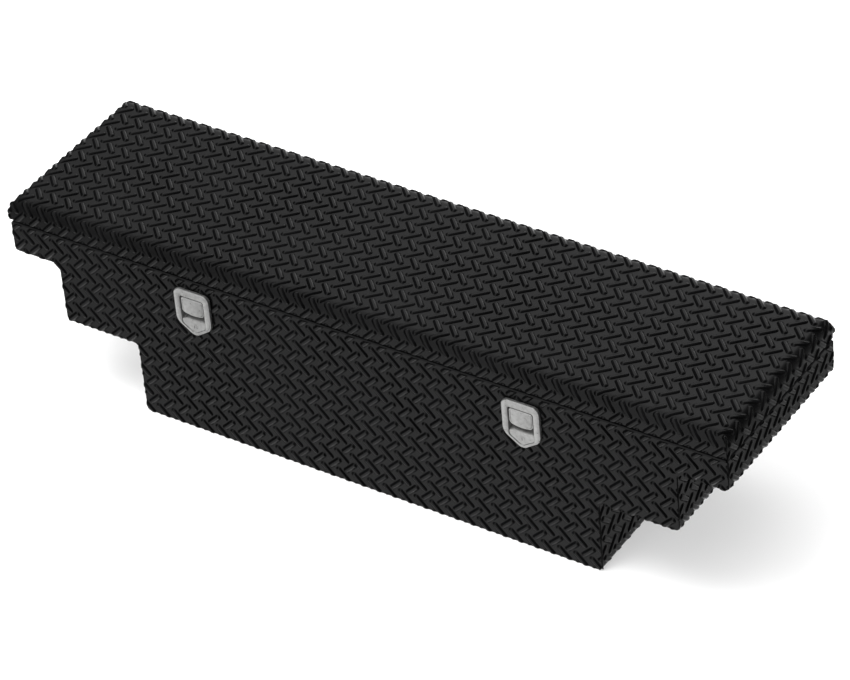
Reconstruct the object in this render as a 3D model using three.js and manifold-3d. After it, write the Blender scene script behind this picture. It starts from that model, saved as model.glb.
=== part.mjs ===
// Truck tool box: a crossover box for a pickup bed. Its stepped tub hangs on the bed rails, and its
// one lid is hinged along the back and held by two paddle latches on the front.
// Millimetres. +X runs along the box, the front faces -Y, +Z is up, and the origin is the centre of
// the bottom.
import * as THREE from "three";
import { mergeVertices } from "three/addons/utils/BufferGeometryUtils.js";
import Module from "manifold-3d";

// ---- Driving dimensions -------------------------------------------------------------------------

const LENGTH = 1778;
const DEPTH = 442;
const HEIGHT = 465;
const SHEET = 3; // tread plate
const FIT = 0.3; // gap between pieces that touch
const LID_SKIRT = 51.5; // lid top down to the skirt's edge
const LID_BEND = 24; // outside radius of the lid's bend
const RIM_GAP = 3; // skirt edge down to the tub's rim
const RAIL_SHELF_Z = 333; // underside of the band that lies over the bed rails
const LEDGE_Z = 182.5; // underside of the middle section
const RAIL_STEP = 119; // how far the rail shelf runs in from each end
const WELL_STEP = 190.5; // how far the second ledge runs in from the middle walls
const OUT_BEND = 8; // outer radius where the stepped outline turns out
const IN_BEND = 12; // outer radius where it turns in
const RIM_BEND = 1.5; // inside radius of the folds at the rim
const FLOOR_FLANGE = 30; // the end strips' fold under the floor

const FLANGE = 20; // rim flange, from the outer face in to the upstand
const UPSTAND = 11; // height of the upstand over the flange
const SEAL_BULB = 9; // bulb diameter

const PAN_Z = 432; // underside of the lid's inner pan
const PAN_SHEET = 2;

const HINGE_PIN = 2.2; // radius
const KNUCKLE = 4; // outer radius
const LEAF = 1.5; // thickness
const KNUCKLE_LENGTH = 70;

const LATCH_X = 410; // each latch's distance from the middle
const LATCH_TOP = HEIGHT - 79; // top of the bezel
const BEZEL_WIDTH = 92;
const BEZEL_HEIGHT = 115;
const BEZEL_PROUD = 8.5; // front of the bezel, out from the panel

const STRUT_X = 850; // each strut's plane
const STRUT_FOOT = [195.6, 370.4]; // y, z of the stud on the tub
const STRUT_HEAD = [43.7, 391.4]; // y, z of the stud on the lid
const STRUT_ANGLE = 170.5; // degrees from +Y towards +Z, lid closed
const STRUT_LENGTH = 153.7; // stud to eye, lid closed

// ---- Derived places -----------------------------------------------------------------------------

const halfL = LENGTH / 2;
const halfD = DEPTH / 2;
const front = -halfD;
const inner = front + SHEET; // inner face of the front panel
const skirtZ = HEIGHT - LID_SKIRT;
const rimZ = skirtZ - RIM_GAP;
const middleX = halfL - RAIL_STEP;
const lowerX = middleX - WELL_STEP;
const sealX = halfL - FLANGE - SHEET / 2; // the upstand's centre line
const sealY = halfD - FLANGE - SHEET / 2;
const hingeY = halfD + KNUCKLE + 0.5;
const hingeZ = skirtZ - RIM_GAP / 2;

// ---- Materials ----------------------------------------------------------------------------------

function paint(color, roughness, metalness) {
  return new THREE.MeshStandardMaterial({ color, roughness, metalness });
}

const blackCoat = paint(0x1b1c1e, 0.55, 0.3);
const stainless = paint(0xb4b5b7, 0.38, 0.9);
const zinc = paint(0xa9adb0, 0.45, 0.8);
const chrome = paint(0xd8dadc, 0.12, 1);
const rubber = paint(0x141414, 0.85, 0);
const foam = paint(0xd8c48a, 0.95, 0);
const nylon = paint(0x202124, 0.6, 0);

// ---- Solids -------------------------------------------------------------------------------------

const wasm = await Module();
wasm.setup();

const AXIS = {
  X: new THREE.Vector3(1, 0, 0),
  Y: new THREE.Vector3(0, 1, 0),
  Z: new THREE.Vector3(0, 0, 1),
};

function toSolid(geometry) {
  const bare = geometry.clone();
  bare.deleteAttribute("normal");
  bare.deleteAttribute("uv");
  const merged = mergeVertices(bare, 1e-4);
  const mesh = new wasm.Mesh({
    numProp: 3,
    vertProperties: new Float32Array(merged.attributes.position.array),
    triVerts: new Uint32Array(merged.index.array),
  });
  return new wasm.Manifold(mesh);
}

function toGeometry(solid) {
  const mesh = solid.getMesh();
  const geometry = new THREE.BufferGeometry();
  geometry.setAttribute("position", new THREE.BufferAttribute(new Float32Array(mesh.vertProperties), 3));
  geometry.setIndex(new THREE.BufferAttribute(new Uint32Array(mesh.triVerts), 1));
  const flat = geometry.toNonIndexed();
  flat.computeVertexNormals();
  return flat;
}

const join = (first, ...others) => others.reduce((whole, piece) => whole.add(piece), first);
const cut = (first, ...tools) => tools.reduce((whole, tool) => whole.subtract(tool), first);

// A box from its low corner to its high corner.
function block(low, high) {
  const size = high.map((value, i) => value - low[i]);
  const geometry = new THREE.BoxGeometry(...size);
  geometry.translate(...low.map((value, i) => value + size[i] / 2));
  return toSolid(geometry);
}

// An outline of [u, v] points extruded along an axis: X takes (y, z) points, Y takes (x, z) and Z
// takes (x, y).
function extrude(points, axis, from, to, holes = []) {
  const shape = new THREE.Shape(points.map(([u, v]) => new THREE.Vector2(u, v)));
  shape.holes = holes.map((hole) => new THREE.Path(hole.map(([u, v]) => new THREE.Vector2(u, v))));
  const geometry = new THREE.ExtrudeGeometry(shape, { depth: to - from, bevelEnabled: false });
  const turn = new THREE.Matrix4();
  if (axis === "X") turn.makeBasis(AXIS.Y, AXIS.Z, AXIS.X);
  if (axis === "Y") turn.makeBasis(AXIS.X, AXIS.Z, AXIS.Y.clone().negate());
  geometry.applyMatrix4(turn);
  const start = axis === "Y" ? AXIS.Y.clone().multiplyScalar(to) : AXIS[axis].clone().multiplyScalar(from);
  geometry.translate(start.x, start.y, start.z);
  return toSolid(geometry);
}

function circle(u, v, radius, sides) {
  return Array.from({ length: sides }, (_, i) => {
    const angle = (2 * Math.PI * i) / sides;
    return [u + radius * Math.cos(angle), v + radius * Math.sin(angle)];
  });
}

// A rod along an axis; centre is the two coordinates across it, as for extrude.
const rod = (centre, radius, axis, from, to, sides = 16) =>
  extrude(circle(centre[0], centre[1], radius, sides), axis, from, to);

const tubeAlong = (centre, radius, bore, axis, from, to, sides = 16) =>
  extrude(circle(...centre, radius, sides), axis, from, to, [circle(...centre, bore, sides)]);

// The arc that rounds the corner at b, between a and c, as points.
function roundCorner(a, b, c, radius, steps) {
  const back = new THREE.Vector2(a[0] - b[0], a[1] - b[1]).normalize();
  const on = new THREE.Vector2(c[0] - b[0], c[1] - b[1]).normalize();
  const half = Math.acos(THREE.MathUtils.clamp(back.dot(on), -1, 1)) / 2;
  if (radius <= 0 || half > 1.55) return [b];
  const reach = radius / Math.tan(half);
  const centre = back.clone().add(on).normalize().multiplyScalar(radius / Math.sin(half));
  const start = back.clone().multiplyScalar(reach).sub(centre);
  const turn = Math.sign(back.cross(on)) * (Math.PI - 2 * half);
  return Array.from({ length: steps + 1 }, (_, i) => {
    const point = start.clone().rotateAround(new THREE.Vector2(), (-turn * i) / steps);
    return [b[0] + centre.x + point.x, b[1] + centre.y + point.y];
  });
}

// A closed outline with every corner rounded; radius is one number or one for each corner.
function rounded(points, radius, steps = 3) {
  const count = points.length;
  return points.flatMap((point, i) => {
    const r = Array.isArray(radius) ? radius[i] : radius;
    return roundCorner(points[(i + count - 1) % count], point, points[(i + 1) % count], r, steps);
  });
}

const rectangle = (u0, v0, u1, v1) => [[u0, v0], [u1, v0], [u1, v1], [u0, v1]];

// The section of a folded sheet: path is its outer surface, and the sheet lies to the left of it.
// The inside radius is one number, or one for each point of the path.
function folded(path, thickness, insideRadius, steps = 3) {
  const across = path.slice(1).map((point, i) => {
    const along = new THREE.Vector2(point[0] - path[i][0], point[1] - path[i][1]).normalize();
    return new THREE.Vector2(-along.y, along.x);
  });
  const offset = path.map((point, i) => {
    const a = across[Math.max(i - 1, 0)];
    const b = across[Math.min(i, across.length - 1)];
    const scale = thickness / (1 + a.dot(b));
    return [point[0] + (a.x + b.x) * scale, point[1] + (a.y + b.y) * scale];
  });
  const side = (line, extraWhenLeft, extraWhenRight) =>
    line.flatMap((point, i) => {
      if (i === 0 || i === line.length - 1) return [point];
      const turnsLeft = across[i - 1].cross(across[i]) > 0;
      const bend = Array.isArray(insideRadius) ? insideRadius[i] : insideRadius;
      const r = bend + (turnsLeft ? extraWhenLeft : extraWhenRight);
      return roundCorner(line[i - 1], point, line[i + 1], r, steps);
    });
  return [...side(path, thickness, 0), ...side(offset, 0, thickness).reverse()];
}

// A closed solid from a stack of rectangles, each [half x, half y, z], from the bottom up.
function stack(levels) {
  const corners = levels.flatMap(([x, y, z]) => [[-x, -y, z], [x, -y, z], [x, y, z], [-x, y, z]]);
  const faces = [0, 2, 1, 0, 3, 2];
  for (let level = 0; level + 1 < levels.length; level++)
    for (let i = 0; i < 4; i++) {
      const a = level * 4 + i;
      const b = level * 4 + ((i + 1) % 4);
      faces.push(a, b, b + 4, a, b + 4, a + 4);
    }
  const top = (levels.length - 1) * 4;
  faces.push(top, top + 1, top + 2, top, top + 2, top + 3);
  const geometry = new THREE.BufferGeometry();
  geometry.setAttribute("position", new THREE.BufferAttribute(new Float32Array(corners.flat()), 3));
  geometry.setIndex(faces);
  return toSolid(geometry);
}

// A closed section of [out, z] points swept round a rectangle with mitred corners.
function ring(section, halfX, halfY) {
  const place = { "-1-1": 0, "1-1": 1, "11": 2, "-11": 3 };
  const signs = [[-1, -1], [1, -1], [1, 1], [-1, 1]];
  const positions = signs.flatMap(([sx, sy]) =>
    section.map(([out, z]) => [sx * (halfX + out), sy * (halfY + out), z]));
  const count = section.length;
  const faces = [];
  for (const [sx, sy] of signs) {
    const corner = place["" + sx + sy];
    const next = (corner + 1) % 4;
    for (let i = 0; i < count; i++) {
      const j = (i + 1) % count;
      const quad = [corner * count + i, next * count + i, next * count + j, corner * count + j];
      faces.push(quad[0], quad[1], quad[2], quad[0], quad[2], quad[3]);
    }
  }
  const geometry = new THREE.BufferGeometry();
  geometry.setAttribute("position", new THREE.BufferAttribute(new Float32Array(positions.flat()), 3));
  geometry.setIndex(faces);
  return toSolid(geometry);
}

// ---- The scene graph ----------------------------------------------------------------------------

const toolBox = new THREE.Group();
toolBox.name = "truck_tool_box";
const SIDES = [["left", -1], ["right", 1]];

function add(name, solid, material, group = toolBox) {
  const mesh = new THREE.Mesh(toGeometry(solid), material);
  mesh.name = name;
  group.add(mesh);
}

// ---- Tub ----------------------------------------------------------------------------------------

// The stepped outline that the front and the rear share, as (x, z) points.
function steppedOutline() {
  const right = [[lowerX, 0], [lowerX, LEDGE_Z], [middleX, LEDGE_Z], [middleX, RAIL_SHELF_Z]];
  right.push([halfL, RAIL_SHELF_Z], [halfL, rimZ - SHEET - RIM_BEND]);
  const left = right.map(([x, z]) => [-x, z]).reverse();
  const radii = [OUT_BEND, IN_BEND, OUT_BEND, IN_BEND, OUT_BEND, 0];
  return rounded([...right, ...left], [...radii, ...radii.slice().reverse()], 3);
}

// A panel's folded top: up the panel, in along the flange and up the upstand. It is drawn for the rear, and
// turned about Z for the front.
function rimFold() {
  const path = [[halfD, rimZ - 30], [halfD, rimZ]];
  path.push([halfD - FLANGE, rimZ], [halfD - FLANGE, rimZ + UPSTAND]);
  const halfSpan = halfL - SHEET - FIT;
  const whole = extrude(folded(path, SHEET, RIM_BEND, 2), "X", -halfSpan, halfSpan);
  const beyond = halfL - FLANGE;
  const trim = (side) =>
    block([side > 0 ? beyond : -halfL, 0, rimZ + 0.05], [side > 0 ? halfL : -beyond, halfD, rimZ + 50]);
  return cut(whole, trim(1), trim(-1));
}

function rearPanel() {
  const plate = extrude(steppedOutline(), "Y", halfD - SHEET, halfD);
  return join(plate, rimFold());
}

// The latch's hole in the front panel: the bezel's outline, drawn in.
function latchCutOut(centreX) {
  const outline = latchOutline(centreX, 10);
  return extrude(outline, "Y", front - 5, inner + 5);
}

function frontPanel() {
  const panel = rearPanel().rotate([0, 0, 180]);
  return cut(panel, ...SIDES.map(([, side]) => latchCutOut(side * LATCH_X)));
}

// One folded strip makes the whole stepped end.
function endStrip(side) {
  const path = [
    [halfL - FLANGE, rimZ + UPSTAND],
    [halfL - FLANGE, rimZ],
    [halfL, rimZ],
    [halfL, RAIL_SHELF_Z],
    [middleX, RAIL_SHELF_Z],
    [middleX, LEDGE_Z],
    [lowerX, LEDGE_Z],
    [lowerX, 0],
    [lowerX - FLOOR_FLANGE, 0],
  ];
  const turnOut = OUT_BEND - SHEET;
  const bends = [0, RIM_BEND, RIM_BEND, turnOut, IN_BEND, turnOut, IN_BEND, turnOut, 0];
  const section = folded(path.slice().reverse(), SHEET, bends.reverse(), 3);
  const halfSpan = halfD - SHEET - FIT;
  const strip = extrude(section, "Y", -halfSpan, halfSpan);
  const cornerY = halfD - FLANGE - SHEET - FIT;
  const clear = (end) => {
    const low = [halfL - FLANGE - SHEET - 5, end > 0 ? cornerY : -halfD, rimZ - SHEET - 4];
    const high = [halfL - SHEET - 0.01, end > 0 ? halfD : -cornerY, HEIGHT];
    return block(low, high);
  };
  const trimmed = cut(strip, clear(1), clear(-1));
  return side > 0 ? trimmed : trimmed.rotate([0, 0, 180]);
}

function floorPlate() {
  const halfX = lowerX - FLOOR_FLANGE - FIT;
  const halfY = halfD - SHEET - FIT;
  return block([-halfX, -halfY, 0], [halfX, halfY, SHEET]);
}

// Bulb seal with a slot that grips the upstand.
function rimSeal() {
  const bottom = rimZ + 1;
  const slotTop = rimZ + UPSTAND + FIT;
  const slot = SHEET / 2 + FIT;
  const wall = slot + 2.4;
  const bulbZ = PAN_Z - FIT - SEAL_BULB / 2;
  const bulb = [30, 75, 120, 165].map((degrees) => {
    const angle = THREE.MathUtils.degToRad(degrees);
    return [(SEAL_BULB / 2) * Math.cos(angle), bulbZ + (SEAL_BULB / 2) * Math.sin(angle)];
  });
  const section = [[-wall, bottom], [-slot, bottom], [-slot, slotTop], [slot, slotTop], [slot, bottom]];
  section.push([wall, bottom], [wall, slotTop], ...bulb, [-wall, slotTop]);
  return ring(section, sealX, sealY);
}

add("front_panel", frontPanel(), blackCoat);
add("rear_panel", rearPanel(), blackCoat);
for (const [name, side] of SIDES) add(name + "_end", endStrip(side), blackCoat);
add("floor_plate", floorPlate(), blackCoat);
add("rim_seal", rimSeal(), rubber);

// ---- Lid ----------------------------------------------------------------------------------------

// A cap with bent edges: rectangles from the skirt up round the bend.
function cap(inset, radius, bottomZ) {
  const levels = [[halfL - inset, halfD - inset, bottomZ]];
  const steps = 5;
  for (let i = 0; i <= steps; i++) {
    const angle = (Math.PI / 2) * (i / steps);
    const drawn = inset + radius * (1 - Math.cos(angle));
    levels.push([halfL - drawn, halfD - drawn, HEIGHT - inset - radius + radius * Math.sin(angle)]);
  }
  return stack(levels);
}

function lidSkin() {
  return cut(cap(0, LID_BEND, skirtZ), cap(SHEET, LID_BEND - SHEET, skirtZ - 5));
}

// A flat sheet that closes the lid from below.
function lidInnerPan() {
  const inset = SHEET + 1.5; // clear of the skin's bend
  const halfX = halfL - inset;
  const halfY = halfD - inset;
  return block([-halfX, -halfY, PAN_Z], [halfX, halfY, PAN_Z + PAN_SHEET]);
}

function lidFoam() {
  const low = SHEET + 4;
  const high = LID_BEND - 1;
  const bottom = PAN_Z + PAN_SHEET + FIT;
  return stack([[halfL - low, halfD - low, bottom], [halfL - high, halfD - high, HEIGHT - SHEET - FIT]]);
}

add("lid_skin", lidSkin(), blackCoat);
add("lid_foam_core", lidFoam(), foam);
add("lid_inner_pan", lidInnerPan(), blackCoat);

// ---- Piano hinge --------------------------------------------------------------------------------

// One leaf: a strip on the rear face, and every second knuckle, from the given one on.
function hingeLeaf(lowZ, highZ, firstKnuckle) {
  const faceY = halfD + FIT;
  const count = Math.floor((LENGTH - 20) / KNUCKLE_LENGTH);
  const startX = (-count * KNUCKLE_LENGTH) / 2;
  const strip = block([startX, faceY, lowZ], [-startX, faceY + LEAF, highZ]);
  const towardsPin = lowZ > hingeZ ? lowZ + 1 : highZ - 1;
  const knuckles = [];
  for (let i = firstKnuckle; i < count; i += 2) {
    const from = startX + i * KNUCKLE_LENGTH + FIT;
    const to = from + KNUCKLE_LENGTH - 2 * FIT;
    const tab = block(
      [from, faceY, Math.min(towardsPin, hingeZ)],
      [to, faceY + LEAF, Math.max(towardsPin, hingeZ)],
    );
    knuckles.push(join(tab, rod([hingeY, hingeZ], KNUCKLE, "X", from, to, 12)));
  }
  const bore = rod([hingeY, hingeZ], HINGE_PIN + FIT, "X", -halfL, halfL, 12);
  return cut(join(strip, ...knuckles), bore);
}

const leafClear = KNUCKLE + 0.6;
add("hinge_leaf_tub", hingeLeaf(hingeZ - 34, hingeZ - leafClear, 0), stainless);
add("hinge_leaf_lid", hingeLeaf(hingeZ + leafClear, HEIGHT - LID_BEND - 1, 1), stainless);
add("hinge_pin", rod([hingeY, hingeZ], HINGE_PIN, "X", -(halfL - 8), halfL - 8, 12), stainless);

// ---- Latches ------------------------------------------------------------------------------------

const bezelFace = front - BEZEL_PROUD;
const gasketBack = front - FIT;
const gasketFace = gasketBack - 1.2;
const bezelBack = gasketFace - FIT;
const pocketTop = LATCH_TOP - 16.4;
const pocketBottom = LATCH_TOP - 74.6;
const pocketHalf = 31.5;
const pocketBack = front + 17.7; // the pocket's floor, its near side
const pressing = 1.8; // wall of the pocket
const lockZ = LATCH_TOP - 93;
const lockRadius = 7;
const lockBoss = 10.4;

const paddlePinY = front - 0.6;
const paddlePinZ = LATCH_TOP - 22.8;
const paddlePin = 2;
const paddleBarrel = 3.4;
const paddleFace = bezelFace + 1.6;
const paddleBack = paddleFace + 2.2;

// Planes of the catch, from the pocket towards the inside of the box.
const framePlate = 2;
const baseFront = pocketBack + pressing + FIT;
const catchPlane = front + 46;
const hookHalf = 2; // half the hook's thickness
const plateGap = 4; // from the catch plane to each side plate
const strikerRod = 3.5; // radius of the loop
const strikerZ = LATCH_TOP - 6;
const hookPivot = [-24, strikerZ - 18]; // x from the latch's centre, z
const hookPin = 3;
const triggerPivot = [catchPlane, LATCH_TOP - 43]; // y, z
const triggerHub = 3;
const triggerPin = 1.5;

// The bezel's outline: a rectangle with a shallow point below, drawn in by the given amount.
function latchOutline(centreX, drawnIn) {
  const half = BEZEL_WIDTH / 2 - drawnIn;
  const top = LATCH_TOP - drawnIn;
  const shoulder = LATCH_TOP - 87 + drawnIn * 0.2;
  const tip = LATCH_TOP - BEZEL_HEIGHT - 4 + drawnIn;
  const points = [[half, top], [-half, top], [-half, shoulder], [0, tip], [half, shoulder]];
  const corner = Math.max(17 - drawnIn, 5);
  const radii = [corner, corner, corner * 0.8, Math.max(12 - drawnIn, 4), corner * 0.8];
  return rounded(points.map(([x, z]) => [centreX + x, z]), radii, 4);
}

function latchGasket(x) {
  const hole = latchOutline(x, 9.5).reverse();
  return extrude(latchOutline(x, 1), "Y", gasketFace, gasketBack, [hole]);
}

// The bezel: rim plate, pocket pressed in behind it, boss for the lock, bores for the paddle's pin.
function latchBezel(x) {
  const edge = extrude(latchOutline(x, 0), "Y", bezelFace + 3, bezelBack);
  const ridge = extrude(latchOutline(x, 3.5), "Y", bezelFace, bezelFace + 3.5);
  const shellHalf = pocketHalf + pressing;
  const outside = rectangle(-shellHalf, pocketBottom - pressing, shellHalf, pocketTop + pressing);
  const shell = extrude(
    rounded(outside.map(([u, z]) => [x + u, z]), 5, 2),
    "Y",
    bezelBack - 1,
    pocketBack + pressing,
  );
  const floorLine = [
    [bezelFace - 5, pocketBottom],
    [front + 2, pocketBottom],
    [pocketBack, pocketBottom + 22],
    [pocketBack, pocketTop],
    [bezelFace - 5, pocketTop],
  ];
  const room = extrude(floorLine, "X", x - pocketHalf, x + pocketHalf);
  const boss = rod([x, lockZ], lockBoss, "Y", bezelBack - 1, front + 14, 20);
  const lockBore = rod([x, lockZ], lockRadius + FIT, "Y", bezelFace - 5, front + 20, 20);
  const pinBore = rod([paddlePinY, paddlePinZ], paddlePin + FIT, "X", x - 36, x + 36, 12);
  const window = block(
    [x - 8, pocketBack - 2, paddlePinZ - 24],
    [x + 8, pocketBack + 5, paddlePinZ + 1],
  );
  return cut(join(edge, ridge, shell, boss), room, lockBore, pinBore, window);
}

// The paddle: a shallow dished plate with a lower lip, two barrels on the pin, and a tongue that
// reaches back.
function latchPaddle(x) {
  const half = 29;
  const top = paddlePinZ + 3.2;
  const bottom = top - 42;
  const outline = [[half, top], [-half, top], [-half, bottom]];
  outline.push([-half * 0.45, bottom - 4], [half * 0.45, bottom - 4], [half, bottom]);
  const placed = outline.map(([u, z]) => [x + u, z]);
  const plate = extrude(rounded(placed, [6, 6, 8, 14, 14, 8], 3), "Y", paddleFace, paddleBack);
  const dish = extrude(
    rounded(rectangle(x - half + 6, bottom + 7, x + half - 6, top - 7), 5, 2),
    "Y",
    paddleFace - 1,
    paddleFace + 0.9,
  );
  const lip = block([x - 20, paddleBack - 0.5, bottom - 3.6], [x + 20, paddleBack + 3, bottom - 1]);
  const barrels = [-1, 1].map((side) => {
    const from = side < 0 ? x - 28 : x + 14;
    const hub = rod([paddlePinY, paddlePinZ], paddleBarrel, "X", from, from + 14, 14);
    const web = block([from, paddleBack - 0.5, paddlePinZ - 3], [from + 14, paddlePinY, paddlePinZ + 1]);
    return join(hub, web);
  });
  const tongue = block(
    [x - 5, paddleBack - 0.5, paddlePinZ - 7.2],
    [x + 5, front + 25, paddlePinZ - 4.2],
  );
  const bore = rod([paddlePinY, paddlePinZ], paddlePin + FIT, "X", x - half, x + half, 12);
  return cut(join(cut(plate, dish), lip, ...barrels, tongue), bore);
}

// Torsion spring on the paddle's pin: coils and two straight legs, one bent up and one down.
function paddleSpring(x) {
  const wire = 0.4;
  const coil = 2.7;
  const turns = 4;
  const pitch = 1.15;
  const from = x + 7.5;
  const steps = turns * 8;
  const points = [new THREE.Vector3(from, paddlePinY + coil, paddlePinZ + 5.5)];
  for (let i = 0; i <= steps; i++) {
    const angle = (2 * Math.PI * i) / 8;
    const along = from + (pitch * i) / 8;
    const y = paddlePinY + coil * Math.cos(angle);
    points.push(new THREE.Vector3(along, y, paddlePinZ - coil * Math.sin(angle)));
  }
  const last = points[points.length - 1];
  points.push(new THREE.Vector3(last.x + 0.6, last.y + 0.2, paddlePinZ + 5.5));
  const path = new THREE.CatmullRomCurve3(points, false, "centripetal");
  const section = new THREE.Shape(circle(0, 0, wire, 5).map(([u, v]) => new THREE.Vector2(u, v)));
  const sweep = { steps: steps + 8, extrudePath: path, bevelEnabled: false };
  return toSolid(new THREE.ExtrudeGeometry(section, sweep));
}

// The catch's frame: base on the pocket, two notched side plates, a web under them and cheeks for
// the trigger.
function latchFrame(x) {
  const low = hookPivot[1] - 28;
  const left = x + hookPivot[0] - 13;
  const right = x + 17;
  const nearPlate = catchPlane - plateGap - framePlate;
  const farPlate = catchPlane + plateGap;
  const base = block([x - 22, baseFront, low], [x + 22, baseFront + framePlate, pocketTop]);
  const window = block(
    [x - 9, baseFront - 1, paddlePinZ - 26],
    [x + 9, baseFront + 5, paddlePinZ + 2],
  );
  const notch = [[x - 6, strikerZ + 20], [x - 6, strikerZ - 2], [x - 3, strikerZ - 5]];
  notch.push([x + 3, strikerZ - 5], [x + 6, strikerZ - 2], [x + 6, strikerZ + 20]);
  const slot = extrude(notch, "Y", nearPlate - 1, farPlate + framePlate + 1);
  const plate = (y) => block([left, y, low], [right, y + framePlate, strikerZ + 10]);
  const web = block([left, baseFront, low], [right, farPlate + framePlate, low + framePlate]);
  const cheek = (u) => block([u, nearPlate + 1, low], [u + 2, farPlate + 1, triggerPivot[1] + 6]);
  const plates = [plate(nearPlate), plate(farPlate)];
  const frame = join(cut(base, window), ...plates, web, cheek(left), cheek(right - 2));
  const armWindow = block(
    [x - 8, nearPlate - 1, triggerPivot[1] - 8],
    [x + 8, catchPlane, triggerPivot[1] + 16],
  );
  const pivot = [x + hookPivot[0], hookPivot[1]];
  const hookBore = rod(pivot, hookPin + FIT, "Y", nearPlate - 1, farPlate + 5, 14);
  const triggerBore = rod(triggerPivot, triggerPin + FIT, "X", left - 1, right + 1, 12);
  return cut(frame, slot, armWindow, hookBore, triggerBore);
}

// The hook is drawn open. Turned by hookSwing it comes over the striker, concentric with its own pin.
const hookSwing = 60;
const hookReach = Math.hypot(hookPivot[0], strikerZ - hookPivot[1]);

function latchHook(x) {
  const at = (radius, degrees) => {
    const angle = THREE.MathUtils.degToRad(degrees + hookSwing);
    return [x + hookPivot[0] + radius * Math.cos(angle), hookPivot[1] + radius * Math.sin(angle)];
  };
  const closedAngle = THREE.MathUtils.radToDeg(Math.atan2(strikerZ - hookPivot[1], -hookPivot[0]));
  const insideR = hookReach + strikerRod + 0.8;
  const outsideR = insideR + 6;
  const tip = closedAngle - 13;
  const heel = closedAngle + 26;
  const steps = 6;
  const arc = (radius, from, to) =>
    Array.from({ length: steps + 1 }, (_, i) => at(radius, from + ((to - from) * i) / steps));
  const arm = [...arc(outsideR, tip, heel), at(7, heel + 20), at(7, heel - 40)];
  arm.push(at(hookReach, heel - 10.5), ...arc(insideR, heel - 11.5, tip));
  const near = catchPlane - hookHalf;
  const far = catchPlane + hookHalf;
  const pivot = [x + hookPivot[0], hookPivot[1]];
  const body = extrude(arm, "Y", near, far);
  const hub = rod(pivot, 8, "Y", near, far, 18);
  const tail = extrude([at(5, -130), at(14, -110), at(14, -92), at(5, -72)], "Y", near, far);
  const bore = rod(pivot, hookPin + FIT, "Y", near - 7, far + 7, 14);
  return cut(join(body, hub, tail), bore);
}

// The trigger: a hub on its pin, an arm that slopes up under the paddle's tongue, and a tab by the
// hook's tail.
function latchTrigger(x) {
  const [y, z] = triggerPivot;
  const tail = x + hookPivot[0];
  const hub = rod(triggerPivot, triggerHub, "X", tail - 9, x + 12, 12);
  const arm = extrude([[y, z - 1.4], [y, z + 1.4], [y - 22, z + 11], [y - 23, z + 8.4]], "X", x - 5, x + 5);
  const tab = block([tail - 4, y - 1.5, z], [tail + 4, y + 1.5, z + 4.2]);
  const bore = rod(triggerPivot, triggerPin + FIT, "X", tail - 20, x + 20, 12);
  return cut(join(hub, arm, tab), bore);
}

function lockPlug(x) {
  const face = bezelFace + 1;
  const barrel = rod([x, lockZ], lockRadius, "Y", face, front + 22, 20);
  const tang = block([x - 2.6, front + 21, lockZ - 2.6], [x + 2.6, front + 30, lockZ + 2.6]);
  const keySlot = block([x - 0.8, face - 1, lockZ - 4], [x + 0.8, face + 8, lockZ + 4]);
  return cut(join(barrel, tang), keySlot);
}

function lockCam(x) {
  const from = front + 22 + FIT;
  const outline = rounded(rectangle(x - 6, lockZ - 6, x + 27, lockZ + 6), 4, 2);
  const tangHole = block([x - 2.9, from - 2, lockZ - 2.9], [x + 2.9, from + 6, lockZ + 2.9]);
  return cut(extrude(outline, "Y", from, from + 2.5), tangHole);
}

// On the lid: a plate under the inner pan with a loop that hangs into the frame's notch.
function striker(x) {
  const plateTop = PAN_Z - FIT;
  const plate = block([x - 26, catchPlane - 17.5, plateTop - 2.5], [x + 26, catchPlane + 26, plateTop]);
  const reach = 13;
  const near = catchPlane - reach;
  const far = catchPlane + reach;
  const legs = [near, far].map((y) => rod([x, y], strikerRod, "Z", strikerZ, plateTop - 1, 12));
  const bar = rod([x, strikerZ], strikerRod, "Y", near, far, 12);
  const elbow = (y) => {
    const ball = new THREE.SphereGeometry(strikerRod, 12, 8);
    ball.translate(x, y, strikerZ);
    return toSolid(ball);
  };
  return join(plate, ...legs, bar, elbow(near), elbow(far));
}

for (const [name, side] of SIDES) {
  const x = side * LATCH_X;
  const latch = new THREE.Group();
  latch.name = name + "_latch";
  toolBox.add(latch);
  add(name + "_latch_gasket", latchGasket(x), rubber, latch);
  add(name + "_latch_bezel", latchBezel(x), stainless, latch);
  add(name + "_paddle", latchPaddle(x), stainless, latch);
  const hingeRod = rod([paddlePinY, paddlePinZ], paddlePin, "X", x - 35.5, x + 35.5, 12);
  add(name + "_paddle_pin", hingeRod, zinc, latch);
  add(name + "_paddle_spring", paddleSpring(x), zinc, latch);
  add(name + "_latch_frame", latchFrame(x), zinc, latch);
  add(name + "_latch_hook", latchHook(x), zinc, latch);
  const pinFrom = catchPlane - plateGap - framePlate - 1;
  const pinTo = catchPlane + plateGap + framePlate + 1;
  const hookRod = rod([x + hookPivot[0], hookPivot[1]], hookPin, "Y", pinFrom, pinTo, 14);
  add(name + "_hook_pin", hookRod, zinc, latch);
  add(name + "_latch_trigger", latchTrigger(x), zinc, latch);
  const triggerFrom = x + hookPivot[0] - 14;
  add(name + "_trigger_pin", rod(triggerPivot, triggerPin, "X", triggerFrom, x + 18, 12), zinc, latch);
  add(name + "_lock_plug", lockPlug(x), stainless, latch);
  add(name + "_lock_cam", lockCam(x), zinc, latch);
  add(name + "_striker", striker(x), zinc);
}

// ---- Gas struts ---------------------------------------------------------------------------------

const strutTube = 8; // outer radius
const strutBore = 4.4;
const strutRod = 4;
const tubeStart = 11;
const tubeEnd = 121;
const rodStart = 44;
const eyeHalf = 4; // half an eye's width along its stud
const footStud = 3.5;
const headStud = 3;
const footEye = 9.5;
const headEye = 11;
const headEyeBore = 8; // wide, so the lid's stud stays clear of it through the whole swing

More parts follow.
